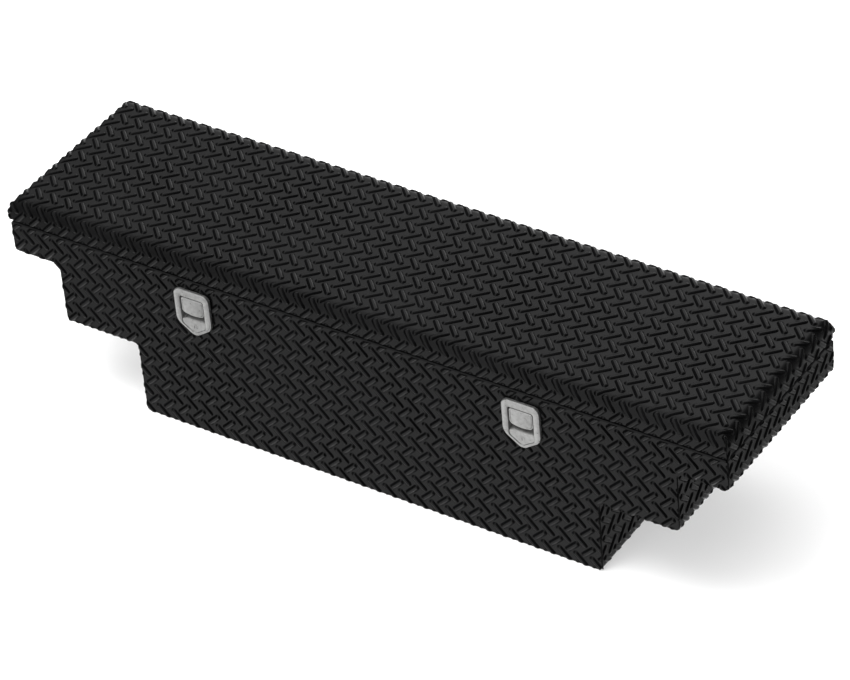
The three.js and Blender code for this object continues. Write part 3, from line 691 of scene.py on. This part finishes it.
def shape_bezel(centre):
    bm = bmesh.new()
    outer = latch_corners(centre, 0, bezel_top, BEZEL_WIDTH / 2)
    rim = outline_face(bm, outer, [16 * MM, 16 * MM, 13 * MM, 12 * MM, 13 * MM], bezel_back)
    grown = bmesh.ops.extrude_face_region(bm, geom=[rim])["geom"]
    rim = [item for item in grown if isinstance(item, bmesh.types.BMFace)][0]
    bmesh.ops.translate(bm, verts=rim.verts, vec=(0, bezel_face - bezel_back + 1.6 * MM, 0))
    back = [face for face in bm.faces if all(abs(vert.co.y - bezel_back) < 1e-7 for vert in face.verts)]
    bmesh.ops.delete(bm, geom=back, context="FACES_ONLY")
    step_in(bm, rim, [(0.35, 0.8), (0.8, 0.6), (1.0, 0.2), (1.0, -0.25), (0.8, -0.15)])
    rim_loop = list(rim.edges)
    plate_y = sum(vert.co.y for vert in rim.verts) / len(rim.verts)
    bmesh.ops.delete(bm, geom=[rim], context="FACES_ONLY")
    inner = latch_corners(centre, 6 * MM, pocket_top, pocket_half)
    mouth = outline_face(bm, inner, [6 * MM, 6 * MM, 5 * MM, 7 * MM, 5 * MM], plate_y)
    mouth_loop = list(mouth.edges)
    bmesh.ops.bridge_loops(bm, edges=rim_loop + mouth_loop)
    step_in(bm, mouth, [(0.6, 0.2), (0.7, -0.5), (0.5, -1.0)])
    floor_faces = [mouth]
    for step in range(5):
        floor_edges = dict.fromkeys(edge for face in floor_faces for edge in face.edges)
        floor_verts = dict.fromkeys(vert for face in floor_faces for vert in face.verts)
        geom = [*floor_faces, *floor_edges, *floor_verts]
        point = (centre, 0, pocket_top - SLOPE_LOW + SLOPE_RUN * step / 4)
        bmesh.ops.bisect_plane(bm, geom=geom, dist=1e-6, plane_co=point, plane_no=(0, 0, 1))
        level = mouth.verts[0].co.y
        floor_faces = [face for face in bm.faces if all(abs(vert.co.y - level) < 1e-6 for vert in face.verts)]
    bmesh.ops.inset_region(bm, faces=floor_faces, thickness=0.25 * MM, depth=0, use_even_offset=True)
    for vert in {vert for face in floor_faces for vert in face.verts}:
        vert.co.y = pocket_depth(vert.co.z)
    bmesh.ops.recalc_face_normals(bm, faces=bm.faces)
    if sum(face.normal.y * face.calc_area() for face in bm.faces) > 0:
        bmesh.ops.reverse_faces(bm, faces=bm.faces)
    bmesh.ops.solidify(bm, geom=bm.faces[:], thickness=BEZEL_SHEET)
    return bm


# %% [markdown]
# The paddle is a plate with rounded corners and a bulge along its lower edge for the fingers. Its front is
# turned over at the edge, creased a little way in, and dished. Behind it are two barrels on the pin,
# without a bore, a lip and the tongue that works the catch.

# %% Shape a paddle
paddle_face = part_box("left_paddle")[0].y
pin_low, pin_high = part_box("left_paddle_pin")
pin_y = (pin_low.y + pin_high.y) / 2
pin_z = (pin_low.z + pin_high.z) / 2
PADDLE_HALF = 28.4 * MM
PADDLE_RISE = 1.9 * MM  # top edge over the pin: at 2.2 mm a pulled paddle cuts the pocket's wall
PADDLE_DROP = 36.6 * MM
PADDLE_BULGE = 5 * MM  # how far the finger edge reaches below the corners


def add_bar(bm, low, high):
    made = bmesh.ops.create_cube(bm, size=1)
    bmesh.ops.scale(bm, verts=made["verts"], vec=high - low)
    bmesh.ops.translate(bm, verts=made["verts"], vec=(high + low) / 2)


def add_rod(bm, start, end, radius, segments=24):
    """A closed cylinder from one point to another, with softened rims."""
    axis = end - start
    made = bmesh.ops.create_cone(bm, cap_ends=True, segments=segments, radius1=radius, radius2=radius,
                                 depth=axis.length)
    rims = [edge for edge in {edge for vert in made["verts"] for edge in vert.link_edges}
            if abs(edge.verts[0].co.z - edge.verts[1].co.z) < 1e-7]
    turn = axis.to_track_quat("Z", "Y").to_matrix()
    bmesh.ops.rotate(bm, verts=made["verts"], cent=(0, 0, 0), matrix=turn)
    bmesh.ops.translate(bm, verts=made["verts"], vec=(start + end) / 2)
    bmesh.ops.bevel(bm, geom=rims, offset=radius * 0.1, segments=2, profile=0.5, affect="EDGES", material=-1)


def shape_paddle(centre):
    bm = bmesh.new()
    half = PADDLE_HALF
    top = pin_z + PADDLE_RISE
    low = pin_z - PADDLE_DROP
    bulge = low - PADDLE_BULGE
    corners = [(centre + half, top), (centre - half, top), (centre - half, low), (centre - half * 0.4, bulge),
               (centre + half * 0.4, bulge), (centre + half, low)]
    back = paddle_face + 2.2 * MM
    plate = outline_face(bm, corners, [5 * MM, 5 * MM, 7 * MM, 9 * MM, 9 * MM, 7 * MM], back)
    grown = bmesh.ops.extrude_face_region(bm, geom=[plate])["geom"]
    cap = [item for item in grown if isinstance(item, bmesh.types.BMFace)][0]
    bmesh.ops.translate(bm, verts=cap.verts, vec=(0, -1.3 * MM, 0))
    step_in(bm, cap, [(0.25, 0.5), (0.5, 0.3), (0.6, 0.1), (1.7, -0.1), (0.7, -0.6), (0.5, -0.1)])
    for end in (-1, 1):
        start = Vector((centre + end * 14 * MM, pin_y, pin_z))
        add_rod(bm, start, start + Vector((end * 14 * MM, 0, 0)), 3.4 * MM)
    add_bar(bm, Vector((centre - 5 * MM, back - 0.4 * MM, pin_z - 7.2 * MM)),
            Vector((centre + 5 * MM, -half_depth + 25 * MM, pin_z - 4.2 * MM)))
    add_bar(bm, Vector((centre - 20 * MM, back - 0.4 * MM, low - 1.6 * MM)),
            Vector((centre + 20 * MM, back + 3 * MM, low + 1 * MM)))
    bmesh.ops.recalc_face_normals(bm, faces=bm.faces)
    return bm


# %% Make the latches
for side_name, centre in (("left", -LATCH_X), ("right", LATCH_X)):
    bezel = make_piece(side_name + "_pressed_bezel", shape_bezel(centre), cast_satin, "tub",
                       crisp=30)
    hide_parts(side_name + "_latch_bezel")
    paddle = make_piece(side_name + "_dished_paddle", shape_paddle(centre), cast_satin,
                        side_name + "_paddle_body", crisp=40)
    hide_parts(side_name + "_paddle")
    plug_low, plug_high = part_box(side_name + "_lock_plug")
    lock_z = (plug_low.z + plug_high.z) / 2
    # The keyway is not cut into the plug: a thin black bar on the plug's face is painted shade that stands in
    # for the dark slot.
    keyway_shade_bar = bmesh.new()
    add_bar(keyway_shade_bar, Vector((centre - 0.7 * MM, plug_low.y - 0.15 * MM, lock_z - 3.8 * MM)),
            Vector((centre + 0.7 * MM, plug_low.y + 1 * MM, lock_z + 3.8 * MM)))
    bmesh.ops.bevel(keyway_shade_bar, geom=keyway_shade_bar.edges[:], offset=0.1 * MM, segments=1, profile=0.5, affect="EDGES",
                    material=-1)
    make_piece(side_name + "_keyway", keyway_shade_bar, black_nylon, side_name + "_lock_body", crisp=30)
    print(side_name, "latch:", len(bezel.data.polygons), "and", len(paddle.data.polygons), "faces")

# %% [markdown]
# ## Small pieces
# The tub's panels are welded to the folded strips at its ends. Each bead follows the strip, so short rods
# laid end to end along it make the bead. The piano hinge is riveted through both leaves. Each rivet is a
# squashed sphere with few segments.

# %% Weld beads
BEAD = 1.5 * MM


def strip_stops():
    """Distances down the strip where the bead may change direction."""
    stops = [6 * MM]
    begin = 0.0
    for stretch in STRETCHES:
        kind, length = stretch[:2]
        parts = 4 if kind == "bend" else 1
        stops += [begin + length * part / parts for part in range(1, parts + 1)]
        begin += length
    return stops[:-1] + [stops[-1] - 2 * MM]


beads = bmesh.new()
bead_y = half_depth - SHEET - 0.6 * MM
stops = strip_stops()
for place in (on_right_end, on_left_end):
    for y in (-bead_y, bead_y):
        for start, end in zip(stops, stops[1:]):
            add_rod(beads, place(y, start, 0.0), place(y, end, 0.0), BEAD, segments=8)
make_piece("corner_welds", beads, black_coat, "tub", crisp=40)
print("bead in", len(stops) - 1, "lengths at each corner")

# %% Rivets in the hinge
RIVET_PITCH = 140 * MM


def rivet_row(name, body, leaf):
    low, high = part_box(leaf)
    bm = bmesh.new()
    z = low.z + 9 * MM if leaf.endswith("tub") else high.z - 9 * MM
    count = int((high.x - low.x) / RIVET_PITCH)
    first = -(count - 1) * RIVET_PITCH / 2
    face_y = half_depth + 0.3 * MM + 1.5 * MM
    for number in range(count):
        made = bmesh.ops.create_uvsphere(bm, u_segments=10, v_segments=6, radius=1)
        bmesh.ops.scale(bm, verts=made["verts"], vec=(4 * MM, 1.6 * MM, 4 * MM))
        bmesh.ops.translate(bm, verts=made["verts"], vec=(first + number * RIVET_PITCH, face_y, z))
    make_piece(name, bm, brushed_steel, body, crisp=60)
    return count


print("rivets:", rivet_row("tub_hinge_rivets", "tub", "hinge_leaf_tub"),
      rivet_row("lid_hinge_rivets", "lid", "hinge_leaf_lid"))

# %% [markdown]
# The gas struts are turned parts. A profile of distance along the strut and radius is spun round the
# strut's axis, and the points that meet on the axis are merged.

# %% Gas struts
STRUT_X = 850 * MM
STRUT_FOOT = (195.6 * MM, 370.4 * MM)
STRUT_ANGLE = math.radians(170.5)
TUBE_PROFILE = ((11, 4.9), (11, 6.9), (12.1, 8), (106, 8), (107.2, 7.3), (109.8, 7.3), (111, 8), (119.6, 8),
                (121, 6.6), (121, 4.9))
ROD_PROFILE = ((44, 0), (44, 3.6), (44.4, 4), (137, 4), (137.7, 3.4), (137.7, 0))


def turned(profile, x, closed):
    """Spins a profile round the strut's axis. closed joins its last point to its first, as for a tube."""
    bm = bmesh.new()
    axis = Vector((0, math.cos(STRUT_ANGLE), math.sin(STRUT_ANGLE)))
    foot = Vector((x, *STRUT_FOOT))
    verts = [bm.verts.new(foot + axis * along * MM + Vector((radius * MM, 0, 0)))
             for along, radius in profile]
    edges = [bm.edges.new(pair) for pair in zip(verts, verts[1:])]
    if closed:
        edges.append(bm.edges.new((verts[-1], verts[0])))
    bmesh.ops.spin(bm, geom=verts + edges, cent=foot, axis=axis, angle=2 * math.pi, steps=36, use_merge=True)
    bmesh.ops.remove_doubles(bm, verts=bm.verts, dist=1e-6)
    bmesh.ops.recalc_face_normals(bm, faces=bm.faces)
    return bm


for side_name, side_x in (("left", -STRUT_X), ("right", STRUT_X)):
    tube = make_piece(side_name + "_gas_tube", turned(TUBE_PROFILE, side_x, True), black_nylon,
                      side_name + "_strut_tube_body", crisp=30)
    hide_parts(side_name + "_strut_tube")
    rod_piece = make_piece(side_name + "_gas_rod", turned(ROD_PROFILE, side_x, False), chrome_rod,
                           side_name + "_strut_rod_body", crisp=30)
    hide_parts(side_name + "_strut_rod")
print("struts of", len(TUBE_PROFILE), "and", len(ROD_PROFILE), "point profiles")

# %% [markdown]
# ## Softened edges
# No real edge is perfectly sharp. The nodes that keep their own shape get a bevel modifier, which rounds
# every edge that turns by more than 35 degrees and leaves the node's own mesh alone.

# %% Soften the frame's edges
FINE_PARTS = ("spring", "pin", "gasket", "seal")
softened = 0
for node_name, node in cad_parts.items():
    if node_name.endswith(FINE_PARTS):
        continue
    soft = node.modifiers.new("soft_edges", "BEVEL")
    soft.width = 0.35 * MM
    soft.segments = 2
    soft.limit_method = "ANGLE"
    soft.angle_limit = math.radians(35)
    softened += 1
print("softened", softened, "nodes")

# %% [markdown]
# ## Floor, light and camera
# The box stands on a plain pale floor. The room round it is bright in a broad band and dim at the far left
# and at the right, so a flat sheet shines softly while one flank of each lug stays dark. Reflections show
# the room alone: the floor and the lamps are hidden from them. A large key at the front left casts the soft
# shadow, and an overhead fill without a shadow keeps the floor pale.

# %% Floor
floor_paint = bpy.data.materials.new("pale_floor")
floor_paint.use_nodes = True
floor_shader = floor_paint.node_tree.nodes["Principled BSDF"]
floor_shader.inputs["Base Color"].default_value = (0.86, 0.86, 0.86, 1)
floor_shader.inputs["Roughness"].default_value = 0.9
floor_shader.inputs["Specular IOR Level"].default_value = 0.1
floor_bm = bmesh.new()
bmesh.ops.create_grid(floor_bm, x_segments=4, y_segments=4, size=30)
floor_mesh = bpy.data.meshes.new("floor")
floor_bm.to_mesh(floor_mesh)
floor_bm.free()
floor_mesh.materials.append(floor_paint)
floor = bpy.data.objects.new("floor", floor_mesh)
floor.location.z = -0.5 * MM
floor.visible_glossy = False
bpy.context.scene.collection.objects.link(floor)

# %% Lights
def aim(thing, target):
    direction = Vector(target) - thing.location
    thing.rotation_euler = direction.to_track_quat("-Z", "Y").to_euler()


def add_light(name, place, target, width, height, watts):
    data = bpy.data.lights.new(name, "AREA")
    data.shape = "RECTANGLE"
    data.size = width
    data.size_y = height
    data.energy = watts
    light = bpy.data.objects.new(name, data)
    light.location = place
    bpy.context.scene.collection.objects.link(light)
    aim(light, target)
    light.visible_camera = False
    light.visible_glossy = False
    return light


add_light("key", (-1.1, -1.5, 5.0), (0, 0, 0.2), 2.4, 2.4, 105)
fill = add_light("fill", (0, 0, 6.0), (0, 0, 0), 8.0, 8.0, 560)
fill.data.use_shadow = False

# The bands of the room, from its left side (0) to its right side (1).
ROOM_TONES = ((0.0, 0.05), (0.12, 0.12), (0.25, 1.1), (0.44, 1.8), (0.52, 0.5), (0.6, 0.08), (1.0, 0.04))
GLOW_FROM = (0.45, 0.65, -0.61)  # a low glow from the right, behind the box
world = bpy.data.worlds.new("studio")
world.use_nodes = True
bpy.context.scene.world = world
room = world.node_tree.nodes
wires = world.node_tree.links
split = room.new("ShaderNodeSeparateXYZ")
wires.new(room.new("ShaderNodeTexCoord").outputs["Generated"], split.inputs[0])
across = room.new("ShaderNodeMapRange")
across.inputs["From Min"].default_value = -1
wires.new(split.outputs["X"], across.inputs["Value"])
tones = room.new("ShaderNodeValToRGB")
for place, tone in ROOM_TONES[1:-1]:
    tones.color_ramp.elements.new(place)
for element, (place, tone) in zip(tones.color_ramp.elements, ROOM_TONES):
    element.position = place
    element.color = (tone, tone, tone, 1)
wires.new(across.outputs["Result"], tones.inputs["Fac"])
along_glow = room.new("ShaderNodeVectorMath")
along_glow.operation = "DOT_PRODUCT"
along_glow.inputs[1].default_value = GLOW_FROM
wires.new(split.inputs[0].links[0].from_socket, along_glow.inputs[0])
glow = room.new("ShaderNodeMapRange")
glow.inputs["From Min"].default_value = 0.4
glow.inputs["To Max"].default_value = 0.4
wires.new(along_glow.outputs["Value"], glow.inputs["Value"])
together = room.new("ShaderNodeMixRGB")
together.blend_type = "ADD"
together.inputs["Fac"].default_value = 1
wires.new(tones.outputs["Color"], together.inputs["Color1"])
wires.new(glow.outputs["Result"], together.inputs["Color2"])
wires.new(together.outputs["Color"], room["Background"].inputs["Color"])

# %% [markdown]
# The camera looks down on the box from its front right, from far away through a long lens, and it is rolled
# a little. Its place comes from two angles and a distance about the middle of the box.

# %% Camera
AZIMUTH = math.radians(36.0)
ELEVATION = math.radians(37.72)
ROLL = math.radians(-5.44)
DISTANCE = 8.989
middle = Vector((0, 0, 224.75 * MM))
back = Vector((
    math.sin(AZIMUTH) * math.cos(ELEVATION),
    -math.cos(AZIMUTH) * math.cos(ELEVATION),
    math.sin(ELEVATION),
))
right = (-back).cross(Vector((0, 0, 1))).normalized()
up = right.cross(-back)
rolled_right = math.cos(ROLL) * right + math.sin(ROLL) * up
rolled_up = -math.sin(ROLL) * right + math.cos(ROLL) * up
target = middle + rolled_right * 18.75 * MM + rolled_up * 16.2 * MM
camera_data = bpy.data.cameras.new("camera")
camera_data.lens = 178.6
camera_data.sensor_width = 36
camera_data.clip_end = 100
camera = bpy.data.objects.new("camera", camera_data)
bpy.context.scene.collection.objects.link(camera)
camera.location = middle + back * DISTANCE
forward = (target - camera.location).normalized()
side = (rolled_right - forward * rolled_right.dot(forward)).normalized()
upright = side.cross(forward)
camera.rotation_euler = Matrix((side, upright, -forward)).transposed().to_euler()
bpy.context.scene.camera = camera
bpy.context.scene.view_settings.view_transform = "Standard"
print("camera at", [round(c, 2) for c in camera.location])
